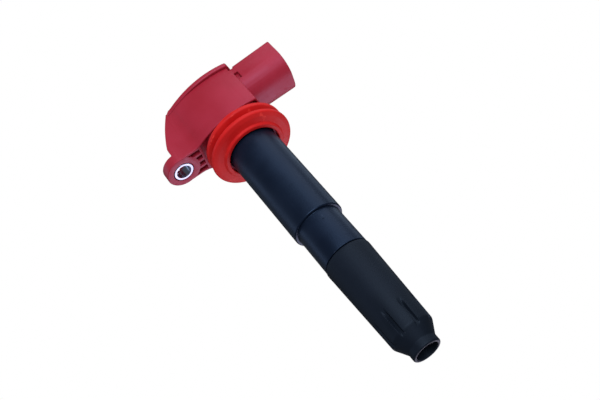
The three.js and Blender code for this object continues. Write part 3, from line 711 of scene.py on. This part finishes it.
# shallow recesses under the head's corners, outside the sealing ring's seat
recess = {"margin": 0.8, "fromX": -19.2, "seat": 16.7, "depth": 1.6}

socket = {
    "halfWidth": 11.6, "low": 10.3, "high": headHigh.z, "mouthX": headHigh.x, "floorX": 18.5,
    "wall": 1.6, "corner": 1.6, "belly": 9.5, "lipRound": 0.35, "flare": 0.35, "keyHalf": 2,
    "keyHeight": 1.4, "rootDraft": 0.9, "sideDraft": 30,
    "notchLow": 18.6, "notchHigh": 23.2, "notchWidth": 0.9, "notchDepth": 1.7,
}

cover = {"leftX": coverLow.x, "low": 27, "high": coverHigh.z, "overhang": 0.3, "edgeRound": 0.6,
         "bevelDrop": 1.2, "bevelReach": 1.8, "ribWidth": 1.4, "ribLow": coverLow.z}


# points spread evenly along a line of points, both ends included
def spreadAlong(points, count):
    places = [0.0]
    for here, after in zip(points, points[1:]):
        places.append(places[-1] + (after - here).length)
    result, i = [], 0
    for k in range(count):
        goal = places[-1] * k / (count - 1)
        while i < len(points) - 2 and places[i + 1] < goal:
            i += 1
        share = (goal - places[i]) / (places[i + 1] - places[i])
        result.append(points[i].lerp(points[i + 1], share))
    return result


def arcPoints(centre, radius, first, last, steps):
    turns = [first + (last - first) * k / steps for k in range(steps + 1)]
    return [Vector((centre[0] + radius * cos(a), centre[1] + radius * sin(a))) for a in turns]


# the head from above, grown by a margin and closed by a straight edge at leftX
def headOutline(grow, leftX):
    side, end = head["sideRadius"] + grow, head["endRadius"] + grow
    corner = max(head["cornerRound"] + grow, 0.1)
    sideX, sideY = head["widestX"], head["halfWidth"] - head["sideRadius"]
    endCentre = head["endX"] - head["endRadius"]
    across = sideX - endCentre
    apart = hypot(across, sideY)
    inner, reach = side - corner, end - corner
    angle = atan2(sideY, across) + acos((reach ** 2 + apart ** 2 - inner ** 2) / (2 * reach * apart))
    centre = Vector((endCentre + reach * cos(angle), reach * sin(angle)))
    sideAngle = atan2(centre.y - sideY, centre.x - sideX)
    # the long side runs into the web through a hollow round
    web, hollow = head["webHalfWidth"] + grow, head["webRound"] - grow
    rise = web + hollow - sideY
    hollowX = sideX - (((side + hollow) ** 2 - rise ** 2) ** 0.5)
    webAngle = atan2(rise, hollowX - sideX)
    path = arcPoints((sideX, sideY), side, sideAngle, webAngle, 60)
    path += arcPoints((hollowX, web + hollow), hollow, webAngle - pi, -pi / 2, 16)[1:]
    path.append(Vector((2 * boltX, web)))
    kept = [point for point in path if point.x > leftX]
    before, after = kept[-1], path[len(kept)]
    kept.append(before.lerp(after, (before.x - leftX) / (before.x - after.x)))
    upper = arcPoints((endCentre, 0), end, 0, angle, 14)
    upper += arcPoints(centre, corner, angle, sideAngle, 5)[1:]
    upper += spreadAlong(kept, 64)[1:]
    return upper + [Vector((p.x, -p.y)) for p in reversed(upper[1:])]


# an outline that grows by one margin at the ear's end and by another over the coil
def fadingOutline(leftGrow, rightGrow, leftX):
    outline = []
    for left, right in zip(headOutline(leftGrow, leftX), headOutline(rightGrow, leftX)):
        share = (right.x - groove["fadeStart"]) / (groove["fadeEnd"] - groove["fadeStart"])
        share = min(1, max(0, share))
        outline.append(left.lerp(right, share * share * (3 - 2 * share)))
    return outline


def roundedSection(grow):
    low, high = socket["low"] - grow, socket["high"] + grow
    half, corner, belly = socket["halfWidth"] + grow, socket["corner"] + grow / 2, socket["belly"] + grow
    corners = [(-half, low, belly), (half, low, belly), (half, high, corner), (-half, high, corner)]
    return filleted(corners, 8)


def makeSocketShell():
    mouth = list(reversed(roundedEdge(socket["mouthX"], -1, socket["lipRound"])))
    levels = [(0, head["endX"] - 2 * head["wall"])] + mouth
    rings = []
    for grow, x in levels:
        # the roof and the sides close in a little towards the root
        draft = socket["rootDraft"] * (socket["mouthX"] - x) / (socket["mouthX"] - head["endX"])
        ring = []
        for y, z in roundedSection(grow):
            part = draft * max(0, (z - socket["low"]) / (socket["high"] - socket["low"]))
            ring.append((x, y * (1 - part / socket["sideDraft"]), z - part))
        rings.append(ring)
    shell = loft("shell", rings)
    endX, half = head["endX"], socket["halfWidth"]
    coverEnd = endX + cover["overhang"] + fit
    cut(shell, block("clearOfCover", (0, -beyond, head["rim"]), (coverEnd, beyond, headHigh.z + 1)))
    for side in (-1, 1):
        edges = sorted((side * (half - socket["notchDepth"]), side * (half + 1)))
        cut(shell, block("notch", (0, edges[0], socket["notchLow"]),
                         (endX + socket["notchWidth"], edges[1], socket["notchHigh"])))
    return shell


def makeGroove():
    rim, outside = head["rim"], 3
    band = prism("groove", lambda grow: headOutline(outside, boltX), groove["low"], rim + 2)
    levels = [(0.05, groove["low"] - 0.1), (0.05, groove["low"]), (-groove["depth"], groove["full"]),
              (-groove["depth"], rim + 3)]
    rings = [[(p.x, p.y, z) for p in fadingOutline(0.05, grow, boltX - 1)] for grow, z in levels]
    cut(band, loft("kept", rings))
    return cut(band, block("corner", (groove["endX"], -beyond, 0), (2 * head["endX"], beyond, rim + 4)))


def makeRecess():
    low, high = -1, recess["depth"]
    room = prism("recess", lambda grow: headOutline(-recess["margin"], recess["fromX"]), low, high)
    return cut(room, rod("seat", recess["seat"], low - 1, high + 1))


def makeSocketHollow():
    wall, flare, mouthX = socket["wall"], socket["flare"], socket["mouthX"]
    levels = [(-wall, socket["floorX"]), (-wall, mouthX - flare), (flare - wall, mouthX),
              (flare - wall, mouthX + 1)]
    hollow = loft("hollow", [[(x, y, z) for y, z in roundedSection(grow)] for grow, x in levels])
    roof, half = socket["high"] - wall, socket["keyHalf"]
    key = block("key", (socket["floorX"] - 1, -half, roof - socket["keyHeight"]),
                (mouthX + 2, half, roof + 1))
    return cut(hollow, key)


# everything left of the wings' sloping free edge, above the ear
def makeWingCutter():
    foot = Vector((wing["endX"], head["earThickness"] + wing["step"]))
    peak = Vector((cover["leftX"] - wing["ledge"], wing["top"]))
    slope = (peak - foot).normalized()
    middle = (foot + peak) / 2 + Vector((-slope.y, slope.x)) * 2 * wing["bulge"]
    curve = [foot.lerp(middle, t).lerp(middle.lerp(peak, t), t) for t in (k / 24 for k in range(25))]
    far, top = headLow.x - 5, wing["top"] + 2
    shape = [Vector((far, head["earThickness"])), Vector((wing["endX"], head["earThickness"])), *curve,
             Vector((peak.x, top)), Vector((far, top))]
    return loft("wings", [[(p.x, y, p.y) for p in shape] for y in (-beyond, beyond)])


def makeHousing():
    rim, wall, ear = head["rim"], head["wall"], head["earThickness"]
    centre = (boltX, 0)
    piece = prism("housing_shell", lambda grow: headOutline(grow, boltX), 0, rim, head["footRound"])
    cut(piece, makeGroove())
    cut(piece, makeRecess())
    wings = prism("wings", lambda grow: headOutline(grow, boltX), rim - 1, wing["top"])
    behind = cover["leftX"] - 0.1
    join(piece, cut(wings, block("overCup", (behind, -beyond, rim - 2), (beyond, beyond, wing["top"] + 1))))
    join(piece, rod("ear", head["earRadius"], 0, rim, centre, head["earRound"]))
    join(piece, makeSocketShell())
    join(piece, rod("collar", head["collarRadius"], headLow.z, head["floor"], edge=head["collarRound"]))
    pocketWall = pocket["rightX"] + wall
    cut(piece, prism("cup", lambda grow: headOutline(grow - wall, pocketWall), head["floor"], rim + 2))
    cut(piece, rod("tubeHole", head["tubeHole"], headLow.z - 1, head["floor"] + 1))
    half, sky = head["wellRadius"], wing["top"] + 2
    well = rod("well", half, ear, sky, centre)
    join(well, block("mouth", (headLow.x - 5, -half, ear), (boltX, half, sky)))
    cut(piece, well)
    cut(piece, makeWingCutter())
    boss = rod("boss", head["bossRadius"], -2, pocket["depth"] + 2, centre)
    pitch = (2 * (head["webHalfWidth"] - pocket["edge"]) + pocket["rib"]) / pocket["count"]
    hole = block("pocket", (boltX, (pocket["rib"] - pitch) / 2, -1),
                 (pocket["rightX"], (pitch - pocket["rib"]) / 2, pocket["depth"]))
    applyTree(hole, rowTree, {
        "Count": pocket["count"], "Pitch": pitch, "Material": materials["headPlastic"]})
    cut(piece, cut(hole, boss))
    cut(piece, rod("bushingHole", bushingRadius + fit, -1, ear + 1, centre))
    cut(piece, makeSocketHollow())
    slotLow, slotHigh = span("terminal_1")
    pitch = span("terminal_2")[0].y - slotLow.y
    half = (slotHigh.y - slotLow.y) / 2 + fit
    slot = block("slot", (0, -half, blade["z"] - blade["thickness"] / 2 - fit),
                 (socket["floorX"] + 1, half, blade["z"] + blade["thickness"] / 2 + fit))
    applyTree(slot, rowTree, {"Count": 4, "Pitch": pitch, "Material": materials["headPlastic"]})
    cut(piece, slot)
    softenEdges(piece, head["edgeRound"])
    return finishPiece(piece, "headPlastic", ["housing"])


def makeCover():
    overhang, leftX = cover["overhang"], cover["leftX"]
    piece = prism("cover_plate", lambda grow: fadingOutline(grow, overhang + grow, leftX - grow),
                  cover["low"], cover["high"], cover["edgeRound"], cover["edgeRound"])
    high, drop, reach = cover["high"], cover["bevelDrop"], cover["bevelReach"]
    corner = [(leftX - 1, high - drop * (1 + 1 / reach)), (leftX + reach + 1, high + drop / reach),
              (leftX - 1, high + drop / reach)]
    cut(piece, loft("bevel", [[(x, y, z) for x, z in corner] for y in (-beyond, beyond)]))
    ribX = pocket["rightX"] + head["wall"] + fit
    inset, width = -head["wall"] - fit, cover["ribWidth"]
    rib = prism("rib", lambda grow: headOutline(inset + grow, ribX), cover["ribLow"], cover["low"] + 1)
    inside = prism("inside", lambda grow: headOutline(inset - width + grow, ribX + width),
                   cover["ribLow"] - 1, cover["low"])
    join(piece, cut(rib, inside))
    return finishPiece(piece, "headPlastic", ["top_cover"])


bladeLow, bladeHigh = span("terminal_1")
blade = {"thickness": 0.8, "taper": 1.2, "z": bladeHigh.z - 0.4, "edgeRound": 0.12}


def makeTerminals():
    half, width = blade["thickness"] / 2, bladeHigh.y - bladeLow.y
    z, tip, bend = blade["z"], bladeHigh.x, bladeLow.x
    shape = filleted([
        (bend, bladeLow.z, 0), (bend + 2 * half, bladeLow.z, 0), (bend + 2 * half, z - half, 0.3),
        (tip - blade["taper"], z - half, 0.3), (tip, z - half / 2, 0.1), (tip, z + half / 2, 0.1),
        (tip - blade["taper"], z + half, 0.3), (bend, z + half, 0.9)], 4)
    piece = loft("lead_terminals", [[(p.x, y, p.y) for p in shape] for y in (-width / 2, width / 2)])
    softenEdges(piece, blade["edgeRound"], 60)
    pitch = span("terminal_2")[0].y - bladeLow.y
    applyTree(piece, rowTree, {"Count": 4, "Pitch": pitch, "Material": materials["tinnedBrass"]})
    return finishPiece(piece, "tinnedBrass", [f"terminal_{i}" for i in range(1, 5)])


bushing = {"bore": 3.3, "leadIn": 0.32, "teeth": 4, "toothTurn": 20, "toothRadius": 2.9,
           "toothHalf": 0.75, "toothTop": 4.2, "toothFade": 1.2}


def makeBushing():
    bore, outer, top = bushing["bore"], bushingRadius, bushingHigh.z
    rows = [(bore, top * k / 16, 0) for k in range(15, 0, -1)]
    lead = bushing["leadIn"]
    outline = filleted([(bore, lead, 0), (bore + lead, 0, 0.1), (outer, 0, 0.35), (outer, top, 0.5),
                        (bore, top, 0.4), *rows], 4)
    piece = turned("compression_bushing", outline, 160, (boltX, 0))
    applyTree(piece, stripeTree, {
        "Count": bushing["teeth"], "Turn": radians(bushing["toothTurn"]), "Centre X": boltX,
        "Half Width": bushing["toothHalf"], "Least Radius": bushing["toothRadius"],
        "Most Radius": bore + 0.02, "Target Radius": bushing["toothRadius"],
        "Fade Start": bushing["toothTop"], "Fade End": bushing["toothTop"] - bushing["toothFade"],
        "Material": materials["platedSteel"]})
    return finishPiece(piece, "platedSteel", ["bolt_bushing"])


makeHousing()
makeCover()
makeTerminals()
makeBushing()
print("head is made")


sealLow, sealHigh = span("coil_seal")
seal = {"bore": 13.9, "root": 16.2, "lip": sealHigh.x, "upperReach": 19.9, "upperLip": -4.6,
        "lowerLip": -10.1, "lipHalf": 0.95, "lipRound": 0.9, "rootRound": 1.1, "flank": 1.6,
        "boreEnd": -11.3, "skirtTop": -11.7, "tubeGap": 0.9, "collar": 14.9}


def makeSeal():
    lip, root, half = seal["lip"], seal["root"], seal["lipHalf"]
    upper, lower, upperReach = seal["upperLip"], seal["lowerLip"], seal["upperReach"]
    skirt, flank = case["top"] + seal["tubeGap"], seal["flank"]
    outline = filleted([
        (seal["bore"], sealHigh.z, 0.2),
        (seal["bore"], seal["boreEnd"], 0),
        (skirt, seal["skirtTop"], 0.2),
        (skirt, sealLow.z, 0.5),
        (seal["collar"], sealLow.z, 0.75),
        (seal["collar"] + 0.35, lower - 2.35, 0.5),
        (root + 2, lower - 1.7, 2),
        (lip - 0.15, lower - half, seal["lipRound"]),
        (lip, lower + half, seal["lipRound"]),
        (root, lower + flank, seal["rootRound"]),
        (root + 0.3, lower + flank + 1, seal["rootRound"]),
        (upperReach, upper - half - 0.2, seal["lipRound"]),
        (upperReach, upper + half, seal["lipRound"]),
        (root, upper + flank, 0.8),
        (root, sealHigh.z, 0.4)], 8)
    piece = turned("sealing_ring", outline, 192)
    return finishPiece(piece, "redSilicone", ["coil_seal"])


caseLow, caseHigh = span("coil_case")
bootLow, bootHigh = span("plug_boot")
case = {"top": 12, "foot": 11.76, "end": -65, "endRound": 1.2, "neck": 10.36, "spigot": 8.61,
        "wall": 1.4, "bore": 4.8, "flange": 2.5, "floor": -63.4, "edge": 0.2}
pip = {"angle": -83, "height": -69.7, "radius": 0.42, "proud": 0.24, "band": 0.8}


# a small round pip that stands out of the neck
def makePip():
    radius, proud = pip["radius"], pip["proud"]
    dome = filleted([
        (0, -0.5, 0), (radius, -0.5, 0), (radius, proud * 0.4, 0.1), (radius * 0.5, proud, 0.1),
        (0, proud, 0)], 3)
    piece = turned("pip", dome, 24)
    outward = Matrix.Rotation(pi / 2, 4, "Y")
    around = Matrix.Rotation(radians(pip["angle"]), 4, "Z")
    piece.data.transform(around @ Matrix.Translation((case["neck"], 0, pip["height"])) @ outward)
    return piece


def makeCase():
    neckEnd = bootHigh.z + fit
    inner, edge = case["foot"] - case["wall"], case["edge"]
    outline = filleted([
        (case["bore"], caseLow.z, 0.3),
        (case["spigot"], caseLow.z, 0.6),
        (case["spigot"], neckEnd, edge),
        (case["neck"], neckEnd, 0.3),
        (case["neck"], pip["height"] - pip["band"], 0),
        (case["neck"], pip["height"] + pip["band"], 0),
        (case["neck"], case["end"], 0.25),
        (case["foot"], case["end"], case["endRound"]),
        (case["top"], case["flange"], edge),
        (caseHigh.x, case["flange"], edge),
        (caseHigh.x, caseHigh.z, edge),
        (inner, caseHigh.z, edge),
        (inner, case["floor"], 2 * edge),
        (case["bore"], case["floor"], edge)], 6)
    piece = turned("coil_tube", outline, 160)
    join(piece, makePip())
    return finishPiece(piece, "casePlastic", ["coil_case"])


boot = {"bore": 4.75, "top": 10.5, "bead": 0.1, "shoulder": -126.5, "shoulderRadius": 9.36,
        "tipTop": -132.1, "tipRadius": 6.2, "sleeve": 8.91, "sleeveEnd": -97.3,
        "flutes": 8, "fluteTurn": 17.5, "fluteHalf": 1.05, "fluteFloor": 8.45,
        "fluteTop": -115, "fluteFull": -120, "rowStep": 0.4, "beadRise": 2}


def makeBoot():
    top, proud, rise = bootHigh.z, boot["top"] + boot["bead"], boot["beadRise"]
    outline = filleted([
        (boot["bore"], bootLow.z, 0.65),
        (boot["tipRadius"], bootLow.z, 0.75),
        (boot["tipRadius"], boot["tipTop"], 0.7),
        (boot["shoulderRadius"], boot["shoulder"], 2.2),
        (boot["top"], top - 2 * rise, 6),
        (proud, top - rise, 2),
        (proud, top, 0.9),
        (boot["sleeve"], top, 0.2),
        (boot["sleeve"], boot["sleeveEnd"], 0.3),
        (boot["bore"], boot["sleeveEnd"], 0.3)], 6)
    # the wall gets a row of faces every rowStep where the flutes are
    fine = []
    for here, after in zip(outline, outline[1:] + outline[:1]):
        low, high = sorted((here.y, after.y))
        near = low < boot["fluteTop"] + 2 and min(here.x, after.x) > boot["tipRadius"] - 0.1
        rows = max(1, int((high - low) / boot["rowStep"])) if near else 1
        fine += [here.lerp(after, k / rows) for k in range(rows)]
    piece = turned("plug_boot_sleeve", fine, 320)
    applyTree(piece, stripeTree, {
        "Count": boot["flutes"], "Turn": radians(boot["fluteTurn"]), "Half Width": boot["fluteHalf"],
        "Least Radius": boot["fluteFloor"], "Most Radius": bootHigh.x + 1,
        "Target Radius": boot["fluteFloor"], "Fade Start": boot["fluteTop"],
        "Fade End": boot["fluteFull"], "Material": materials["bootRubber"]})
    return finishPiece(piece, "bootRubber", ["plug_boot"])


makeSeal()
makeCase()
makeBoot()
print("seal, case and boot are made")


springLow, springHigh = span("contact_spring")
contactLow, contactHigh = span("plug_contact")
spring = {"turns": 9, "wire": 0.45, "endShare": 0.13, "closeRise": 8.4, "steps": 40, "sides": 12}
contact = {"wall": 0.9, "depth": 4.2, "leadIn": 0.6, "travel": 5}


def makeSpring():
    piece = newPiece("contact_spring_coil", bmesh.new())
    wire = spring["wire"]
    applyTree(piece, woundWireTree, {
        "Turns": spring["turns"], "Radius": springHigh.x - wire, "Wire Radius": wire,
        "Low": springLow.z + wire, "High": springHigh.z - wire, "End Share": spring["endShare"],
        "Close Rise": spring["closeRise"], "Steps": spring["steps"], "Sides": spring["sides"],
        "Material": materials["springSteel"]})
    finishPiece(piece, "springSteel", ["contact_spring"])
    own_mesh(piece)
    return piece


def makeContact():
    outer, top, low = contactHigh.x, contactHigh.z, contactLow.z
    inner, lead = outer - contact["wall"], contact["leadIn"]
    outline = filleted([
        (inner, low, 0.25), (outer - lead / 2, low, 0.25), (outer, low + lead, 0.3),
        (outer, top, 0.4), (0, top, 0),
        (0, low + contact["depth"], 0), (inner, low + contact["depth"], 0.3)], 5)
    piece = turned("plug_contact_cup", outline, 96)
    return finishPiece(piece, "brass", ["plug_contact"], body="contact")


windingLow, windingHigh = span("primary_winding")
winding = {"wire": 0.44, "gap": 0.02, "shrink": 0.01, "sides": 8, "steps": 44}


def makeWinding():
    piece = newPiece("primary_wire", bmesh.new())
    wire = winding["wire"]
    length = windingHigh.z - windingLow.z - 2 * wire
    applyTree(piece, woundWireTree, {
        "Turns": length / (2 * wire + winding["gap"]),
        "Radius": windingHigh.x - wire - winding["shrink"], "Wire Radius": wire,
        "Low": windingLow.z + wire, "High": windingHigh.z - wire, "End Share": 0.0, "Close Rise": 0.0,
        "Steps": winding["steps"], "Sides": winding["sides"], "Material": materials["copperWire"]})
    return finishPiece(piece, "copperWire", ["primary_winding"])


makeSpring()
makeContact()
makeWinding()
print("spring, contact and winding are made")


carriedOver = {
    "blackPlastic": ["module_carrier", "driver_chip", "high_voltage_diode"],
    "boardLaminate": ["driver_board"],
    "capacitorBody": ["capacitor"],
    "copperWire": ["heat_spreader", "winding_lead_1", "winding_lead_2", "secondary_winding"],
    "pottingResin": ["sealing_resin", "case_resin"],
    "electricalSteel": ["core_shield", "iron_core"],
    "bobbinPlastic": ["primary_bobbin", "secondary_bobbin"],
    "coreRubber": ["core_cushion_upper", "core_cushion_lower"],
    "magnetMetal": ["core_magnet_upper", "core_magnet_lower"],
    "brass": ["high_voltage_terminal"],
    "ceramic": ["suppression_resistor"],
}

for finish, nodeNames in carriedOver.items():
    for nodeName in nodeNames:
        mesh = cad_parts[nodeName].data
        mesh.materials.clear()
        mesh.materials.append(materials[finish])
print("inner pieces are coated")
